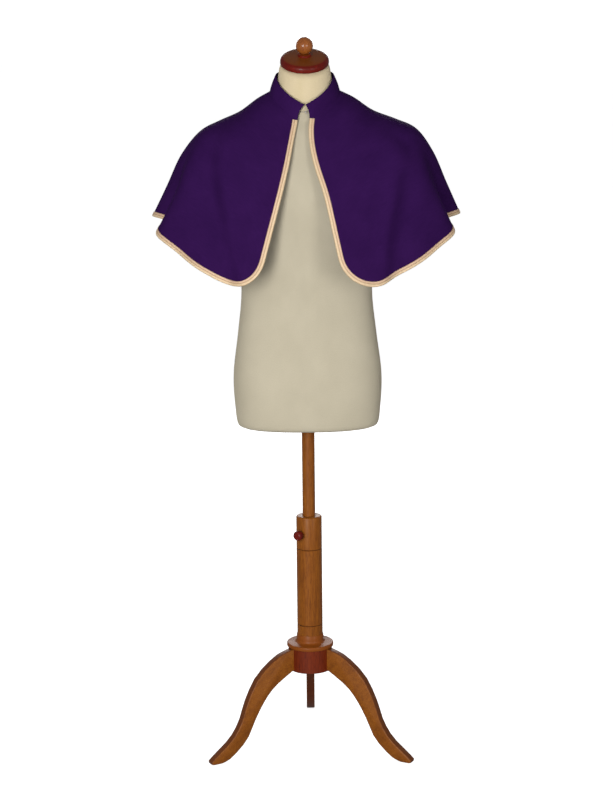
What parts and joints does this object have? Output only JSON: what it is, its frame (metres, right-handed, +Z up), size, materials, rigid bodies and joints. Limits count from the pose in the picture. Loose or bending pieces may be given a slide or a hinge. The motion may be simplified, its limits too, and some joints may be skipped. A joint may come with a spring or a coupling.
{
  "type": "altar server cape on a limbless dress form",
  "caption": "Shoulder cape for an altar server with a stand collar, hook and eye and a braided edge, hanging open on a limbless dress form on a wooden tripod stand.",
  "frame": {"origin": "on the floor, under the middle of the part's box", "axes": "+Z up; the front of the cape faces -Y; +X is the wearer's left, the right side as seen from the front"},
  "size_m": [0.7439, 0.479, 1.7469],
  "materials": {
    "purple_cloth": "matt plain weave, two layers",
    "gold_braid": "satin woven braid with two cords",
    "cream_cloth": "fine jersey stretched over the form",
    "mahogany": "dark red stain under gloss varnish",
    "beech": "brown stain under satin varnish",
    "ball_wood": "gloss varnish",
    "steel_wire": "nickel plated wire"
  },
  "bodies": {
    "stand": {"stand_column": "beech", "stand_hub": "mahogany", "clamp_knob": "mahogany", "leg_left": "beech", "leg_right": "beech", "leg_back": "beech"},
    "pole": {"pole": "beech"},
    "bust": {"dress_form": "cream_cloth", "neck_cap": "mahogany", "finial": "ball_wood", "cape_front_left": "purple_cloth", "cape_back": "purple_cloth", "cape_front_right": "purple_cloth", "collar": "purple_cloth", "edge_braid": "gold_braid", "hook": "steel_wire", "eye": "steel_wire"}
  },
  "joints": [
    {"name": "height", "type": "slide", "parent": "stand", "child": "pole", "axis": [0, 0, 1], "range_m": [-0.1, 0.12]},
    {"name": "swivel", "type": "hinge", "parent": "pole", "child": "bust", "pos_m": [0, -0.0465, 0.876], "axis": [0, 0, 1], "continuous": true}
  ]
}
